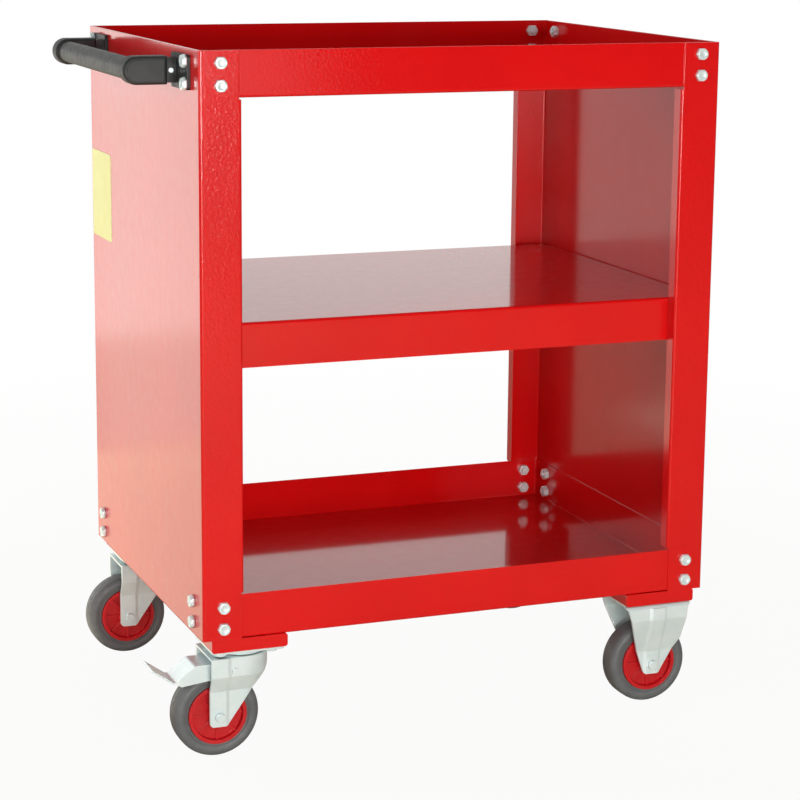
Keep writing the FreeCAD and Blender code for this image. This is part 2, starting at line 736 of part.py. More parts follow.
for name, (x, y) in fixed_spots.items():
    fork = fixed_fork()
    fork.translate(at(x, y, 0))
    save(name + "_fork", fork)
    save_wheel(name, x, y, fixed_outer + leg_band_rise)

# Caster bolts with their heads under the plates and nuts inside the channels
caster_bolts = []
caster_nuts = []
for x, y in plate_holes:
    sheet = swivel_plate_sheet if x < shift / 2.0 else fixed_sheet
    bolt = hex_bolt(bolt_flats, bolt_head_height, bolt_radius, sheet + channel_sheet + nut_height + bolt_tail)
    caster_bolts.append(placed(bolt, (x, y, caster_height - sheet), (0, 0, 1)))
    caster_nuts.append(placed(plain_nut, (x, y, caster_height + channel_sheet), (0, 0, 1)))
save("caster_bolts", *caster_bolts)
save("caster_nuts", *caster_nuts)

# Foot brake: lever, shoe and pivot pin
spot_x, spot_y = swivel_spots["front_left"]
axle_x = spot_x - trail
pivot_x = spot_x + brake_pivot[0]
pivot_z = brake_pivot[1]


def from_axle(y):
    return lambda x, z: at(axle_x + x, y, axle_level + z)


def brake_lever():
    half = brake_width / 2.0
    lead = brake_pivot_ahead - brake_pin_head
    top_line = [(lead, brake_top), (-brake_step_start, brake_top), (-brake_step_end, brake_step_height),
                (-brake_tip_reach, brake_tip_height)]
    web = folded(top_line, brake_sheet, brake_fold, from_axle(spot_y - half)).extrude(at(0, brake_width, 0))
    ear = brake_pivot_ahead + brake_pin_head + brake_ear_margin
    inside = brake_sheet / 2.0
    cheek_points = [(ear, brake_pivot_above - brake_pin_head), (ear, brake_top - inside),
                    (-brake_step_start, brake_top - inside),
                    (-brake_step_end + inside, brake_step_height - inside),
                    (-brake_step_end + brake_toe_inset, brake_cheek_toe),
                    (-leg_end_half, brake_cheek_toe + brake_edge_rise),
                    (0, brake_pivot_above - brake_edge_drop)]
    shape = web
    for low_y in (spot_y - half, spot_y + half - brake_sheet):
        shape = joined(shape, polygon(cheek_points, from_axle(low_y)).extrude(at(0, brake_sheet, 0)))
    return shape.cut(rod(brake_pin_radius + brake_pin_gap, (pivot_x, spot_y - half - 1, pivot_z), (0, 1, 0),
                         brake_width + 2))


def brake_shoe():
    """Block under the lever, hollowed so that it meets the tread evenly at the end of the travel."""
    half = brake_shoe_width / 2.0
    low = (axle_x - brake_step_start + brake_shoe_inset, spot_y - half, axle_level)
    high = (low[0] + brake_shoe_length, spot_y + half, axle_level + brake_top - brake_sheet)
    tread_start = (axle_x, spot_y - half - 1, axle_level)
    tread = rod(wheel_radius + brake_shoe_gap, tread_start, (0, 1, 0), brake_shoe_width + 2)
    tread.rotate(at(pivot_x, spot_y, pivot_z), at(0, 1, 0), brake_travel)
    return block(low, high).cut(tread)


save("front_left_brake_lever", brake_lever())
save("front_left_brake_shoe", brake_shoe())
pin_outer = crown_width / 2.0
pin = rod(brake_pin_radius, (pivot_x, spot_y - pin_outer, pivot_z), (0, 1, 0), 2 * pin_outer)
heads = []
for start in (spot_y - pin_outer - brake_pin_head_height, spot_y + pin_outer):
    heads.append(rod(brake_pin_head, (pivot_x, start, pivot_z), (0, 1, 0), brake_pin_head_height))
save("front_left_brake_pin", joined(pin, *heads))

# Push handle
tube_x = left - handle_reach + arm_height / 2.0


def arm_slab(low_y, high_y, margin, inner_reach):
    """Flat bar with a round end about the tube, from a distance off the panel to the tip."""
    half = arm_height / 2.0 - margin
    bar = block((tube_x, low_y, handle_level - half), (left - inner_reach, high_y, handle_level + half))
    return joined(bar, rod(half, (tube_x, low_y, handle_level), (0, 1, 0), high_y - low_y))


def arm(middle_y, outward):
    """Moulded arm: foot on the panel, neck and a bar that holds the tube; outward is -1 at the front."""
    half = arm_width / 2.0
    bar = arm_slab(middle_y - half, middle_y + half, 0.0, neck_reach)
    rims = [edge for edge in bar.Edges if edge.BoundBox.YLength < 0.001]
    bar = bar.makeFillet(arm_edge, rims)
    neck_half = neck_height / 2.0
    neck = block((left - neck_reach - arm_edge, middle_y - neck_width / 2.0, handle_level - neck_half),
                 (left, middle_y + neck_width / 2.0, handle_level + neck_half))
    bolt_end = outward * (back - side_bolt_inset + foot_margin)
    far_end = middle_y - outward * half
    foot = block((left - foot_thickness, min(bolt_end, far_end), handle_level - foot_height / 2.0),
                 (left, max(bolt_end, far_end), handle_level + foot_height / 2.0))
    ends = [edge for edge in foot.Edges if edge.BoundBox.XLength > foot_thickness - 0.001]
    shape = joined(bar, neck, foot.makeFillet(arm_edge, ends))
    socket_start = (tube_x, middle_y - outward * half, handle_level)
    shape = shape.cut(rod(tube_radius + tube_socket_gap, socket_start, (0, outward, 0), tube_socket))
    grub_start = (left - grub_reach, middle_y + outward * neck_width / 2.0, handle_level)
    shape = shape.cut(rod(grub_radius + grub_gap, grub_start, (0, -outward, 0), grub_length))
    return shape.cut(bolt_holes(handle_seats))


grubs = []
for name, middle_y in arm_sides.items():
    outward = -1 if name == "front" else 1
    save(name + "_handle_arm", arm(middle_y, outward))
    face_y = middle_y + outward * arm_width / 2.0
    low_y = min(face_y, face_y + outward * cover_rise)
    save(name + "_handle_cover", arm_slab(low_y, low_y + cover_rise, cover_margin, neck_reach + cover_margin))
    grub_y = middle_y + outward * neck_width / 2.0
    head = rod(grub_head_radius, (left - grub_reach, grub_y, handle_level), (0, outward, 0), grub_head_height)
    shank = rod(grub_radius, (left - grub_reach, grub_y, handle_level), (0, -outward, 0), grub_length)
    grubs.append(joined(head, shank))
save("handle_grub_screws", *grubs)

tube_start = -handle_spacing / 2.0 + arm_width / 2.0 - tube_socket
tube_length = -2 * tube_start
tube_end = (tube_x, tube_start, handle_level)
tube = rod(tube_radius, tube_end, (0, 1, 0), tube_length)
save("handle_tube", tube.cut(rod(tube_radius - tube_wall, tube_end, (0, 1, 0), tube_length)))

# Sticker
sticker_y = back - sticker_rear_gap
sticker_z = panel_bottom + sticker_low
sticker = block((left - sticker_thickness, sticker_y - sticker_width, sticker_z),
                (left, sticker_y, sticker_z + sticker_height))
uprights = [edge for edge in sticker.Edges if edge.BoundBox.XLength > sticker_thickness / 2.0]
save("panel_sticker", sticker.makeFillet(sticker_corner, uprights))
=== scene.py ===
import json
import math
import bpy
from mathutils import Matrix, Vector


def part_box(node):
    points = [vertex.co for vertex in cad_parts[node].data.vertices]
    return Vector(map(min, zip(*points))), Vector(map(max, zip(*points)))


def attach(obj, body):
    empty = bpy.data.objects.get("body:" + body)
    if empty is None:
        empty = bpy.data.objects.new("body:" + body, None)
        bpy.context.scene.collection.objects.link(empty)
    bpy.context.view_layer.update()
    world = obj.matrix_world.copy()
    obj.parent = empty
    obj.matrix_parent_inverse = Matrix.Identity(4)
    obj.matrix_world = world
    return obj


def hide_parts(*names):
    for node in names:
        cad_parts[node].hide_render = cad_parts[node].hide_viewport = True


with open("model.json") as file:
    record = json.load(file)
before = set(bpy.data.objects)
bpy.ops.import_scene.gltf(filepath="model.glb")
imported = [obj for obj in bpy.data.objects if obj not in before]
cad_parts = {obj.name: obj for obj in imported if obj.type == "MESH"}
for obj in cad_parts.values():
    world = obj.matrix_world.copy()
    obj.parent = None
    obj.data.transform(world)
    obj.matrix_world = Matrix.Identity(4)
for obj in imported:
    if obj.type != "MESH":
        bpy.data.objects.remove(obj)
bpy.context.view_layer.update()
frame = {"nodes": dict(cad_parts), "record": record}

nodes = frame["nodes"]
bpy.ops.object.select_all(action="DESELECT")
print("frame loaded:", len(nodes), "nodes")


# small helpers that build node materials
def startMaterial(name):
    material = bpy.data.materials.new(name)
    material.use_nodes = True
    tree = material.node_tree
    tree.nodes.clear()
    output = tree.nodes.new("ShaderNodeOutputMaterial")
    shader = tree.nodes.new("ShaderNodeBsdfPrincipled")
    tree.links.new(shader.outputs["BSDF"], output.inputs["Surface"])
    return material, tree, shader


def objectCoords(tree):
    return tree.nodes.new("ShaderNodeTexCoord").outputs["Object"]


def noise(tree, coords, scale, detail=3.0, roughness=0.5):
    node = tree.nodes.new("ShaderNodeTexNoise")
    node.inputs["Scale"].default_value = scale
    node.inputs["Detail"].default_value = detail
    node.inputs["Roughness"].default_value = roughness
    tree.links.new(coords, node.inputs["Vector"])
    return node.outputs["Fac"]


def spread(tree, value, low, high, fromLow=0.3, fromHigh=0.7):
    node = tree.nodes.new("ShaderNodeMapRange")
    node.inputs["From Min"].default_value = fromLow
    node.inputs["From Max"].default_value = fromHigh
    node.inputs["To Min"].default_value = low
    node.inputs["To Max"].default_value = high
    tree.links.new(value, node.inputs["Value"])
    return node.outputs["Result"]


def blendColours(tree, factor, first, second):
    node = tree.nodes.new("ShaderNodeMix")
    node.data_type = "RGBA"
    tree.links.new(factor, node.inputs["Factor"])
    for socket, colour in ((node.inputs[6], first), (node.inputs[7], second)):
        if isinstance(colour, bpy.types.NodeSocket):
            tree.links.new(colour, socket)
        else:
            socket.default_value = (*colour, 1.0)
    return node.outputs[2]


# how a rounded normal is told from a flat one; the edge mask it gives lightens the colour on edges, a
# painted highlight that partly stands for wear
edgeWear = {"samples": 6, "rounded": 0.75, "flat": 0.99}


def softNormal(tree, radius):
    node = tree.nodes.new("ShaderNodeBevel")
    node.samples = edgeWear["samples"]
    node.inputs["Radius"].default_value = radius
    return node.outputs["Normal"]


def edgeMask(tree, radius):
    # 1 on edges, where the rounded normal leaves the flat one, and 0 on flat faces
    dot = tree.nodes.new("ShaderNodeVectorMath")
    dot.operation = "DOT_PRODUCT"
    tree.links.new(softNormal(tree, radius), dot.inputs[0])
    tree.links.new(tree.nodes.new("ShaderNodeNewGeometry").outputs["Normal"], dot.inputs[1])
    return spread(tree, dot.outputs["Value"], 1.0, 0.0, edgeWear["rounded"], edgeWear["flat"])


def bumpFrom(tree, height, strength, distance, edgeRadius=0.0):
    node = tree.nodes.new("ShaderNodeBump")
    if isinstance(strength, bpy.types.NodeSocket):
        tree.links.new(strength, node.inputs["Strength"])
    else:
        node.inputs["Strength"].default_value = strength
    node.inputs["Distance"].default_value = distance
    tree.links.new(height, node.inputs["Height"])
    if edgeRadius:
        tree.links.new(softNormal(tree, edgeRadius), node.inputs["Normal"])
    return node.outputs["Normal"]


# red enamel on the sheet metal, which flowed out smoother on the pieces with a wide floor
enamel = {
    "colour": (0.68, 0.0032, 0.0040),
    "deep": (0.62, 0.0025, 0.0035),
    "edge": (0.74, 0.02, 0.015),
    "cloudScale": 7.0,
    "dustScale": 60.0,
    "peelScale": 330.0,
    "peelDepth": 0.00035,
    "edgeRadius": 0.001,
    "baseRoughness": (0.4, 0.55),
    "baseGloss": 0.02,
    "coat": 1.0,
    "coatIor": 1.5,
    "plain": {"coatRoughness": 0.15, "peelStrength": (0.02, 0.8)},
    "levelled": {"coatRoughness": 0.08, "peelStrength": (0.02, 0.35)},
    "levelledPieces": ("top_tray", "middle_shelf", "bottom_tray"),
}


def byFacing(tree, axis, low, high, oblique=0.5, square=1.0):
    # high on faces square to the axis, falling to low on oblique ones
    facing = tree.nodes.new("ShaderNodeSeparateXYZ")
    tree.links.new(tree.nodes.new("ShaderNodeNewGeometry").outputs["Normal"], facing.inputs[0])
    size = tree.nodes.new("ShaderNodeMath")
    size.operation = "ABSOLUTE"
    tree.links.new(facing.outputs[axis], size.inputs[0])
    return spread(tree, size.outputs["Value"], low, high, oblique, square)


def makeEnamel(name, layer):
    material, tree, shader = startMaterial(name)
    coords = objectCoords(tree)
    cloud = noise(tree, coords, enamel["cloudScale"], detail=4.0)
    body = blendColours(tree, spread(tree, cloud, 0.0, 1.0), enamel["deep"], enamel["colour"])
    # painted highlight: edges turn a lighter red, standing in for the highlights on bends, partly for wear
    wornAndLitMask = edgeMask(tree, enamel["edgeRadius"])
    tree.links.new(blendColours(tree, wornAndLitMask, body, enamel["edge"]), shader.inputs["Base Color"])
    dust = noise(tree, coords, enamel["dustScale"], detail=5.0, roughness=0.6)
    tree.links.new(spread(tree, dust, *enamel["baseRoughness"]), shader.inputs["Roughness"])
    peel = noise(tree, coords, enamel["peelScale"], detail=3.0)
    # the spray shows its grain on the front and the back
    grain = byFacing(tree, "Y", *layer["peelStrength"])
    skin = bumpFrom(tree, peel, grain, enamel["peelDepth"], enamel["edgeRadius"])
    tree.links.new(skin, shader.inputs["Normal"])
    tree.links.new(skin, shader.inputs["Coat Normal"])
    shader.inputs["Specular IOR Level"].default_value = enamel["baseGloss"]
    shader.inputs["Coat Weight"].default_value = enamel["coat"]
    shader.inputs["Coat Roughness"].default_value = layer["coatRoughness"]
    shader.inputs["Coat IOR"].default_value = enamel["coatIor"]
    return material


# bright zinc plate on casters and fasteners
zinc = {
    "pale": (0.85, 0.95, 0.96),
    "cool": (0.74, 0.87, 0.89),
    "edge": (0.92, 0.97, 0.97),
    # painted shade colour and reach for corners and crevices
    "paintedShade": (0.20, 0.21, 0.21),
    "paintedShadeReach": 0.004,
    "paintedShadeSamples": 8,
    "paintedShadeFade": (0.2, 0.75),
    "cloudScale": 38.0,
    "smearScale": 160.0,
    "grainScale": 900.0,
    "grainStrength": 0.08,
    "grainDepth": 0.00003,
    "roughness": (0.285, 0.315),
    "edgeRadius": 0.0006,
    "metallic": 0.35,
}


def makeZinc():
    material, tree, shader = startMaterial("zincPlate")
    coords = objectCoords(tree)
    cloud = noise(tree, coords, zinc["cloudScale"], detail=4.0, roughness=0.55)
    body = blendColours(tree, spread(tree, cloud, 0.0, 1.0), zinc["cool"], zinc["pale"])
    # painted highlight: edges turn paler, standing in for highlights on the pressed edges, partly for wear
    wornAndLitMask = edgeMask(tree, zinc["edgeRadius"])
    bright = blendColours(tree, wornAndLitMask, body, zinc["edge"])
    # painted shade: the zinc turns dark grey in corners and crevices, where the occlusion finds nearby
    # surfaces
    corners = tree.nodes.new("ShaderNodeAmbientOcclusion")
    corners.samples = zinc["paintedShadeSamples"]
    corners.inputs["Distance"].default_value = zinc["paintedShadeReach"]
    outsideShade = spread(tree, corners.outputs["AO"], 0.0, 1.0, *zinc["paintedShadeFade"])
    tree.links.new(blendColours(tree, outsideShade, zinc["paintedShade"], bright), shader.inputs["Base Color"])
    smear = noise(tree, coords, zinc["smearScale"], detail=5.0, roughness=0.65)
    tree.links.new(spread(tree, smear, *zinc["roughness"]), shader.inputs["Roughness"])
    grain = noise(tree, coords, zinc["grainScale"], detail=2.0)
    skin = bumpFrom(tree, grain, zinc["grainStrength"], zinc["grainDepth"], zinc["edgeRadius"])
    tree.links.new(skin, shader.inputs["Normal"])
    shader.inputs["Metallic"].default_value = zinc["metallic"]
    return material


# moulded plastics and satin paint: two near colours, edges painted lighter as a highlight that partly stands
# for wear, a fine grain
plastics = {
    "hubPlastic": {"dark": (0.50, 0.003, 0.007), "pale": (0.57, 0.005, 0.01), "grain": 500.0,
                   "depth": 0.00008, "roughness": (0.30, 0.42)},
    "armPlastic": {"dark": (0.014, 0.015, 0.016), "pale": (0.022, 0.023, 0.024), "grain": 1400.0,
                   "depth": 0.00012, "roughness": (0.42, 0.58)},
    "coverPlastic": {"dark": (0.017, 0.020, 0.021), "pale": (0.024, 0.027, 0.028), "grain": 1400.0,
                     "depth": 0.0001, "roughness": (0.36, 0.48), "gloss": 0.35},
    "tubePaint": {"dark": (0.019, 0.023, 0.021), "pale": (0.027, 0.032, 0.029), "grain": 700.0,
                  "depth": 0.00008, "roughness": (0.40, 0.52), "gloss": 0.35},
    "stickerFilm": {"dark": (0.90, 0.87, 0.30), "pale": (0.96, 0.93, 0.36), "grain": 600.0,
                    "depth": 0.00004, "roughness": (0.35, 0.5)},
}
moulding = {
    "cloudScale": 30.0, "smearScale": 120.0, "edgeRadius": 0.0008, "edgeLift": 1.4,
    "edgeFloor": 0.004, "grainStrength": 0.5, "gloss": 0.5,
}


def makePlastic(name, look):
    material, tree, shader = startMaterial(name)
    coords = objectCoords(tree)
    cloud = noise(tree, coords, moulding["cloudScale"], detail=3.0)
    body = blendColours(tree, spread(tree, cloud, 0.0, 1.0), look["dark"], look["pale"])
    # painted highlight: the pale colour is lifted for the edges, partly standing for wear
    lifted = [moulding["edgeLift"] * channel + moulding["edgeFloor"] for channel in look["pale"]]
    wornAndLitEdgeColour = tuple(min(1.0, channel) for channel in lifted)
    wornAndLitMask = edgeMask(tree, moulding["edgeRadius"])
    tree.links.new(blendColours(tree, wornAndLitMask, body, wornAndLitEdgeColour), shader.inputs["Base Color"])
    smear = noise(tree, coords, moulding["smearScale"], detail=4.0)
    tree.links.new(spread(tree, smear, *look["roughness"]), shader.inputs["Roughness"])
    grain = noise(tree, coords, look["grain"], detail=3.0, roughness=0.6)
    skin = bumpFrom(tree, grain, moulding["grainStrength"], look["depth"], moulding["edgeRadius"])
    tree.links.new(skin, shader.inputs["Normal"])
    shader.inputs["Specular IOR Level"].default_value = look.get("gloss", moulding["gloss"])
    return material


# rubber of the tyres and of the brake shoe
rubbers = {
    "tyreRubber": {"dark": (0.100, 0.106, 0.110), "pale": (0.135, 0.140, 0.144), "roughness": (0.42, 0.58)},
    "shoeRubber": {"dark": (0.02, 0.02, 0.02), "pale": (0.035, 0.035, 0.035), "roughness": (0.6, 0.8)},
}
rubberSkin = {
    "cloudScale": 55.0, "smearScale": 200.0, "grainScale": 1100.0, "grainStrength": 0.4,
    "grainDepth": 0.0001,
}


def makeRubber(name, look):
    material, tree, shader = startMaterial(name)
    coords = objectCoords(tree)
    cloud = noise(tree, coords, rubberSkin["cloudScale"], detail=5.0, roughness=0.6)
    body = blendColours(tree, spread(tree, cloud, 0.0, 1.0), look["dark"], look["pale"])
    tree.links.new(body, shader.inputs["Base Color"])
    smear = noise(tree, coords, rubberSkin["smearScale"], detail=4.0)
    tree.links.new(spread(tree, smear, *look["roughness"]), shader.inputs["Roughness"])
    grain = noise(tree, coords, rubberSkin["grainScale"], detail=2.0)
    skin = bumpFrom(tree, grain, rubberSkin["grainStrength"], rubberSkin["grainDepth"])
    tree.links.new(skin, shader.inputs["Normal"])
    return material


finishes = {
    "red_paint": makeEnamel("redEnamel", enamel["plain"]),
    "zinc": makeZinc(),
    "hub_red": makePlastic("hubPlastic", plastics["hubPlastic"]),
    "arm_plastic": makePlastic("armPlastic", plastics["armPlastic"]),
    "cover_plastic": makePlastic("coverPlastic", plastics["coverPlastic"]),
    "tube_paint": makePlastic("tubePaint", plastics["tubePaint"]),
    "sticker_film": makePlastic("stickerFilm", plastics["stickerFilm"]),
    "tyre_grey": makeRubber("tyreRubber", rubbers["tyreRubber"]),
    "shoe_rubber": makeRubber("shoeRubber", rubbers["shoeRubber"]),
}
for subpart in frame["record"]["subparts"]:
    node = nodes[subpart["node"]]
    node.data.materials.clear()
    node.data.materials.append(finishes[subpart["material_slot"]])
levelledEnamel = makeEnamel("levelledEnamel", enamel["levelled"])
for name in enamel["levelledPieces"]:
    nodes[name].data.materials[0] = levelledEnamel
print("finishes set on the frame")


# modelling helpers
def freshStart():
    if bpy.context.object and bpy.context.object.mode != "OBJECT":
        bpy.ops.object.mode_set(mode="OBJECT")
    bpy.ops.object.select_all(action="DESELECT")


def pick(piece):
    freshStart()
    bpy.context.view_layer.objects.active = piece
    piece.select_set(True)


def applyAll(piece):
    pick(piece)
    for modifier in list(piece.modifiers):
        bpy.ops.object.modifier_apply(modifier=modifier.name)


def settle():
    bpy.ops.object.transform_apply(location=True, rotation=True, scale=True)
    return bpy.context.object


def dress(piece, slotName, bodyName):
    piece.data.materials.clear()
    piece.data.materials.append(finishes[slotName])
    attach(piece, bodyName)


def turnedRing(name, profile, segments, closed, mergeGap=0.00001):
    # a circle extruded ring by ring along (height, radius) points about Z
    freshStart()
    height, radius = profile[0]
    bpy.ops.mesh.primitive_circle_add(vertices=segments, radius=radius, location=(0, 0, height))
    piece = settle()
    piece.name = name
    bpy.ops.object.mode_set(mode="EDIT")
    bpy.ops.mesh.select_all(action="SELECT")
    for nextHeight, nextRadius in profile[1:] + (profile[:1] if closed else []):
        bpy.ops.mesh.extrude_edges_move()
        grow = nextRadius / radius
        bpy.ops.transform.resize(value=(grow, grow, 1.0), center_override=(0, 0, height))
        bpy.ops.transform.translate(value=(0, 0, nextHeight - height))
        height, radius = nextHeight, nextRadius
    if not closed:
        bpy.ops.mesh.edge_face_add()
    bpy.ops.mesh.select_all(action="SELECT")
    bpy.ops.mesh.remove_doubles(threshold=mergeGap)
    bpy.ops.mesh.normals_make_consistent(inside=False)
    bpy.ops.object.mode_set(mode="OBJECT")
    return piece


def copyTo(piece, name, place, direction):
    copy = piece.copy()
    copy.data = piece.data.copy()
    copy.name = name
    bpy.context.scene.collection.objects.link(copy)
    turn = Vector((0, 0, 1)).rotation_difference(direction).to_matrix().to_4x4()
    copy.matrix_world = Matrix.Translation(place) @ turn
    pick(copy)
    return settle()


def joinAll(group, name):
    freshStart()
    for piece in group:
        piece.select_set(True)
    bpy.context.view_layer.objects.active = group[0]
    bpy.ops.object.join()
    group[0].name = name
    return group[0]


def smoothBy(piece, degrees):
    pick(piece)
    bpy.ops.object.shade_smooth_by_angle(angle=math.radians(degrees))


# tyres: moulded rings on the side walls and a parting line round the tread
tyre = {
    "segments": 112,
    "outside": 0.0500,
    "halfWidth": 0.0150,
    "shoulder": 0.0075,
    "bead": [(0.0120, 0.03405), (0.0132, 0.0343), (0.0136, 0.0352), (0.01385, 0.0364), (0.0138, 0.0368),
             (0.01345, 0.0370), (0.0135, 0.0377), (0.0140, 0.0379), (0.01425, 0.0384), (0.0147, 0.0406)],
    "tread": [(0.0060, 0.04988), (0.0011, 0.04990), (0.0008, 0.0500), (0.0003, 0.0500)],
    "shoulderSteps": 9,
    "crown": 0.985,
    "smoothAngle": 40,
}


def tyreProfile():
    half = list(tyre["bead"])
    middleWide = tyre["halfWidth"] - tyre["shoulder"]
    middleHigh = tyre["outside"] - tyre["shoulder"]
    for step in range(tyre["shoulderSteps"]):
        turn = math.radians(90.0 * step / tyre["shoulderSteps"])
        wide = middleWide + tyre["shoulder"] * math.cos(turn)
        half.append((wide, middleHigh + tyre["crown"] * tyre["shoulder"] * math.sin(turn)))
    half += tyre["tread"]
    return half + [(-wide, high) for wide, high in half[::-1]]


masterTyre = turnedRing("masterTyre", tyreProfile(), tyre["segments"], True)
smoothBy(masterTyre, tyre["smoothAngle"])
for corner in ("front_left", "rear_left", "front_right", "rear_right"):
    low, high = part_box(corner + "_tyre")
    ring = copyTo(masterTyre, corner + "_moulded_tyre", (low + high) / 2, Vector((0, 1, 0)))
    dress(ring, "tyre_grey", corner + "_wheel")
    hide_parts(corner + "_tyre")
bpy.data.objects.remove(masterTyre)
print("tyres turned")

# bolts: pressed hexagon heads with a dished top and a cut thread
bolt = {
    "flats": 0.013, "head": 0.0053, "shank": 0.0040, "pitch": 0.00125, "threadDepth": 0.0005,
    "dish": 0.0040, "dishDepth": 0.0009, "round": 0.00045, "length": 0.0112,
    "turnedWide": 0.0085, "turnedNarrow": 0.0060, "turnedDepth": 0.0064, "turnedMiddle": -0.0027,
    "rootedIn": 0.0005, "plain": 0.0020, "tipChamfer": 0.0002, "tipDrop": 0.0003, "smoothAngle": 30,
    "groove": (0.35, 0.65), "shankSegments": 24, "coneSegments": 64, "dishSegments": 48, "dishRings": 24,
    "roundSteps": 2, "roundAngle": 25, "hexagonTurn": 30,
}
boltPlaces = {
    "flangeInset": 0.024, "sideInset": 0.037, "trayMiddle": 0.0255, "halfPitch": 0.0122, "foot": 0.004,
}


def makeHead(name):
    freshStart()
    bpy.ops.mesh.primitive_cylinder_add(vertices=6, radius=bolt["flats"] / math.sqrt(3.0),
                                        depth=bolt["head"], location=(0, 0, -bolt["head"] / 2),
                                        rotation=(0, 0, math.radians(bolt["hexagonTurn"])))
    head = settle()
    head.name = name
    # turn off the outer corners, then press the dish
    freshStart()
    bpy.ops.mesh.primitive_cone_add(vertices=bolt["coneSegments"], radius1=bolt["turnedWide"],
                                    radius2=bolt["turnedNarrow"], depth=bolt["turnedDepth"],
                                    location=(0, 0, bolt["turnedMiddle"]), rotation=(math.pi, 0, 0))
    turnedLimit = settle()
    freshStart()
    bpy.ops.mesh.primitive_uv_sphere_add(segments=bolt["dishSegments"], ring_count=bolt["dishRings"],
                                         radius=1.0, location=(0, 0, -bolt["head"]))
    bpy.context.object.scale = (bolt["dish"], bolt["dish"], bolt["dishDepth"])
    dish = settle()
    for cutter, how in ((turnedLimit, "INTERSECT"), (dish, "DIFFERENCE")):
        cut = head.modifiers.new(how.lower(), "BOOLEAN")
        cut.operation = how
        cut.solver = "EXACT"
        cut.object = cutter
    edges = head.modifiers.new("edges", "BEVEL")
    edges.width = bolt["round"]
    edges.segments = bolt["roundSteps"]
    edges.limit_method = "ANGLE"
    edges.angle_limit = math.radians(bolt["roundAngle"])
    applyAll(head)
    bpy.data.objects.remove(turnedLimit)
    bpy.data.objects.remove(dish)
    return head


def makeBolt(name, length):
    head = makeHead(name)
    core = bolt["shank"] - bolt["threadDepth"]
    pitch = bolt["pitch"]
    level = bolt["plain"]
    profile = [(-bolt["rootedIn"], bolt["shank"]), (level, bolt["shank"])]
    while level + pitch < length:
        groove = [(level + share * pitch, core) for share in bolt["groove"]]
        profile += groove + [(level + pitch, bolt["shank"])]
        level += pitch
    profile += [(length - bolt["tipChamfer"], core), (length, core - bolt["tipDrop"])]
    shank = turnedRing(name + "_shank", profile, bolt["shankSegments"], False)
    whole = joinAll([head, shank], name)
    smoothBy(whole, bolt["smoothAngle"])
    return whole


masterBolt = makeBolt("masterBolt", bolt["length"])
longBolt = makeBolt("longBolt", bolt["length"] + boltPlaces["foot"])
leftLow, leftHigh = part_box("left_side_panel")
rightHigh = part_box("right_side_panel")[1]
levels = []
for middle in (leftLow.z + boltPlaces["trayMiddle"], leftHigh.z - boltPlaces["trayMiddle"]):
    levels += [middle - boltPlaces["halfPitch"], middle + boltPlaces["halfPitch"]]
boltGroups = {"flange_bolts": [], "side_bolts": [], "handle_bolts": []}
for level in levels:
    for x in (leftLow.x + boltPlaces["flangeInset"], rightHigh.x - boltPlaces["flangeInset"]):
        for y, inward in ((leftLow.y, 1), (leftHigh.y, -1)):
            made = copyTo(masterBolt, "flangeBolt", (x, y, level), Vector((0, inward, 0)))
            boltGroups["flange_bolts"].append(made)
    for y in (leftLow.y + boltPlaces["sideInset"], leftHigh.y - boltPlaces["sideInset"]):
        made = copyTo(masterBolt, "sideBolt", (rightHigh.x, y, level), Vector((-1, 0, 0)))
        boltGroups["side_bolts"].append(made)
        if level > (leftLow.z + leftHigh.z) / 2:
            place = (leftLow.x - boltPlaces["foot"], y, level)
            boltGroups["handle_bolts"].append(copyTo(longBolt, "handleBolt", place, Vector((1, 0, 0))))
        else:
            made = copyTo(masterBolt, "sideBolt", (leftLow.x, y, level), Vector((1, 0, 0)))
            boltGroups["side_bolts"].append(made)
for name, group in boltGroups.items():
    made = joinAll(group, "pressed_" + name)
    dress(made, "zinc", "cart")
    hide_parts(name)
bpy.data.objects.remove(masterBolt)
bpy.data.objects.remove(longBolt)
print("bolts placed")

# pale floor that runs into the white of the background
stage = {"floor": 16.0, "level": -0.0005, "colour": (0.58, 0.53, 0.38), "roughness": 0.7, "glow": 0.945,
         "nearEdge": 0.7, "farEdge": 2.2}
freshStart()
bpy.ops.mesh.primitive_plane_add(size=stage["floor"], location=(0, 0, stage["level"]))
floor = settle()
floor.name = "floor"
floorMaterial, floorTree, floorShader = startMaterial("paleFloor")
floorShader.inputs["Base Color"].default_value = (*stage["colour"], 1.0)
floorShader.inputs["Roughness"].default_value = stage["roughness"]
distance = floorTree.nodes.new("ShaderNodeVectorMath")
distance.operation = "LENGTH"
floorTree.links.new(objectCoords(floorTree), distance.inputs[0])
fade = spread(floorTree, distance.outputs["Value"], stage["glow"], 1.0, stage["nearEdge"], stage["farEdge"])
share = floorTree.nodes.new("ShaderNodeMath")
share.operation = "MULTIPLY"
floorTree.links.new(floorTree.nodes.new("ShaderNodeLightPath").outputs["Is Camera Ray"], share.inputs[0])
floorTree.links.new(fade, share.inputs[1])
mixer = floorTree.nodes.new("ShaderNodeMixShader")
floorTree.links.new(share.outputs["Value"], mixer.inputs["Fac"])
floorTree.links.new(floorShader.outputs["BSDF"], mixer.inputs[1])
floorTree.links.new(floorTree.nodes.new("ShaderNodeEmission").outputs["Emission"], mixer.inputs[2])
floorOut = [part for part in floorTree.nodes if part.type == "OUTPUT_MATERIAL"][0]
floorTree.links.new(mixer.outputs["Shader"], floorOut.inputs["Surface"])
floor.data.materials.append(floorMaterial)

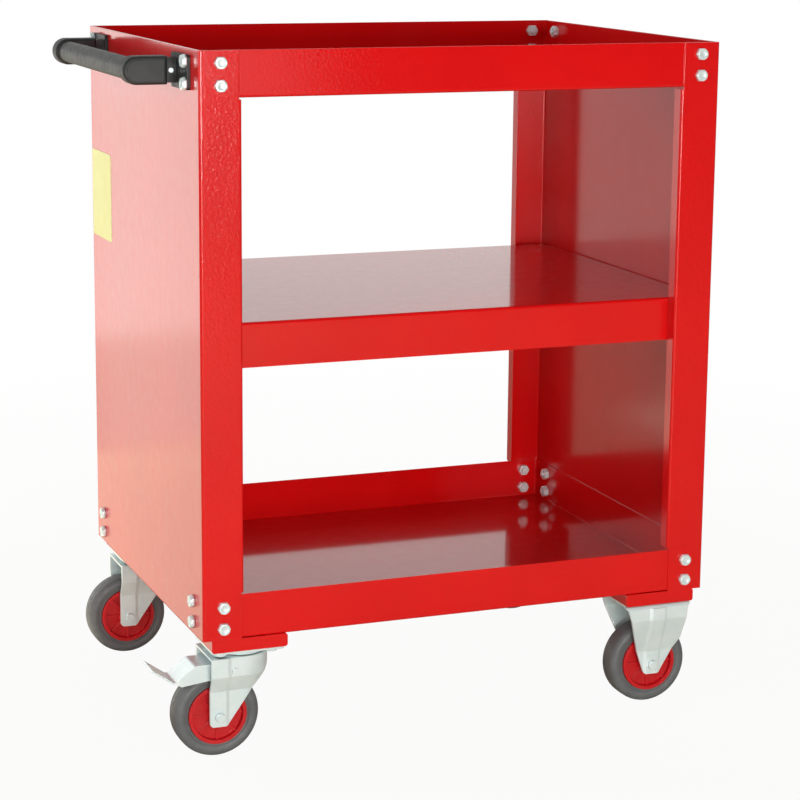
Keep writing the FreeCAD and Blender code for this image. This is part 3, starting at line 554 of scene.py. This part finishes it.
# studio round it: white for the camera, pale behind and dark in front for reflections,
# and for the rest a soft light that is brighter round the horizon than overhead
studio = {"low": 0.64, "overhead": 0.20, "climbLow": 0.35, "climbHigh": 0.9,
          "behind": 0.33, "front": 0.03, "turnLow": -0.15, "turnHigh": 0.35}
world = bpy.data.worlds.new("studio")
bpy.context.scene.world = world
world.use_nodes = True
worldTree = world.node_tree
worldTree.nodes.clear()
worldOut = worldTree.nodes.new("ShaderNodeOutputWorld")


def background(strength):
    node = worldTree.nodes.new("ShaderNodeBackground")
    node.inputs["Color"].default_value = (1.0, 1.0, 1.0, 1.0)
    node.inputs["Strength"].default_value = strength
    return node


def mixBackgrounds(factor, first, second):
    node = worldTree.nodes.new("ShaderNodeMixShader")
    worldTree.links.new(factor, node.inputs["Fac"])
    worldTree.links.new(first, node.inputs[1])
    worldTree.links.new(second, node.inputs[2])
    return node.outputs["Shader"]


rays = worldTree.nodes.new("ShaderNodeLightPath")
compass = worldTree.nodes.new("ShaderNodeSeparateXYZ")
worldTree.links.new(worldTree.nodes.new("ShaderNodeTexCoord").outputs["Generated"], compass.inputs[0])
mirrored = background(1.0)
turning = spread(worldTree, compass.outputs["Y"], studio["front"], studio["behind"],
                 studio["turnLow"], studio["turnHigh"])
worldTree.links.new(turning, mirrored.inputs["Strength"])
soft = background(1.0)
climbing = spread(worldTree, compass.outputs["Z"], studio["low"], studio["overhead"],
                  studio["climbLow"], studio["climbHigh"])
worldTree.links.new(climbing, soft.inputs["Strength"])
white = background(1.0)
lit = mixBackgrounds(rays.outputs["Is Glossy Ray"], soft.outputs[0], mirrored.outputs[0])
seen = mixBackgrounds(rays.outputs["Is Camera Ray"], lit, white.outputs[0])
worldTree.links.new(seen, worldOut.inputs["Surface"])

# soft boxes: a main one in front, a wide one behind, two for the left panel, a small glint and two fills
lamps = {
    "frontBox": {"place": (-0.50, -3.6, 0.66), "aim": (0.0, 0.0, 0.42), "size": (1.6, 0.60), "power": 73.0,
                 "colour": (1.0, 0.98, 0.96)},
    "backBox": {"place": (0.0, 2.3, 0.95), "aim": (0.0, 0.0, 0.95), "size": (4.4, 1.9), "power": 18.0,
                "colour": (1.0, 0.99, 0.97)},
    "cornerBox": {"place": (-0.78, 1.3, 0.46), "aim": (-0.78, 0.0, 0.46), "size": (0.52, 0.92), "power": 1.6,
                  "colour": (1.0, 0.96, 0.88)},
    "floorBox": {"place": (-0.66, 0.62, 0.004), "aim": (-0.66, 0.62, 1.0), "size": (0.70, 1.3), "power": 2.8,
                 "colour": (1.0, 0.93, 0.74)},
    "glintBox": {"place": (0.72, -3.5, 0.52), "aim": (-0.2, 0.0, 0.62), "size": (0.5, 0.4), "power": 0.6,
                 "colour": (1.0, 1.0, 1.0)},
    "leftBox": {"place": (-2.6, -0.6, 1.0), "aim": (-0.28, 0.0, 0.45), "size": (1.0, 1.0), "power": 15.0,
                "colour": (1.0, 1.0, 1.0)},
    "topBox": {"place": (0.2, -0.2, 3.2), "aim": (0.0, 0.0, 0.42), "size": (2.0, 2.0), "power": 6.0,
               "colour": (1.0, 1.0, 1.0)},
}
for name, lamp in lamps.items():
    light = bpy.data.lights.new(name, "AREA")
    light.shape = "RECTANGLE"
    light.size, light.size_y = lamp["size"]
    light.energy = lamp["power"]
    light.color = lamp["colour"]
    holder = bpy.data.objects.new(name, light)
    bpy.context.scene.collection.objects.link(holder)
    place = Vector(lamp["place"])
    holder.location = place
    holder.rotation_euler = (Vector(lamp["aim"]) - place).to_track_quat("-Z", "Y").to_euler()
    holder.visible_camera = False

# camera at the photograph's viewing angle
view = {"place": (-0.9900, -2.6324, 0.9668), "yaw": 21.408, "pitch": 11.327, "roll": 0.52,
        "lens": 105.247, "sensor": 36.0, "shift": -0.05}
camera = bpy.data.cameras.new("photoView")
camera.lens = view["lens"]
camera.sensor_width = view["sensor"]
camera.shift_y = view["shift"]
cameraHolder = bpy.data.objects.new("photoView", camera)
bpy.context.scene.collection.objects.link(cameraHolder)
cameraHolder.matrix_world = (
    Matrix.Translation(view["place"])
    @ Matrix.Rotation(-math.radians(view["yaw"]), 4, "Z")
    @ Matrix.Rotation(math.radians(90.0 - view["pitch"]), 4, "X")
    @ Matrix.Rotation(math.radians(view["roll"]), 4, "Z")
)
bpy.context.scene.camera = cameraHolder
bpy.context.scene.view_settings.view_transform = "Standard"
print("stage ready")
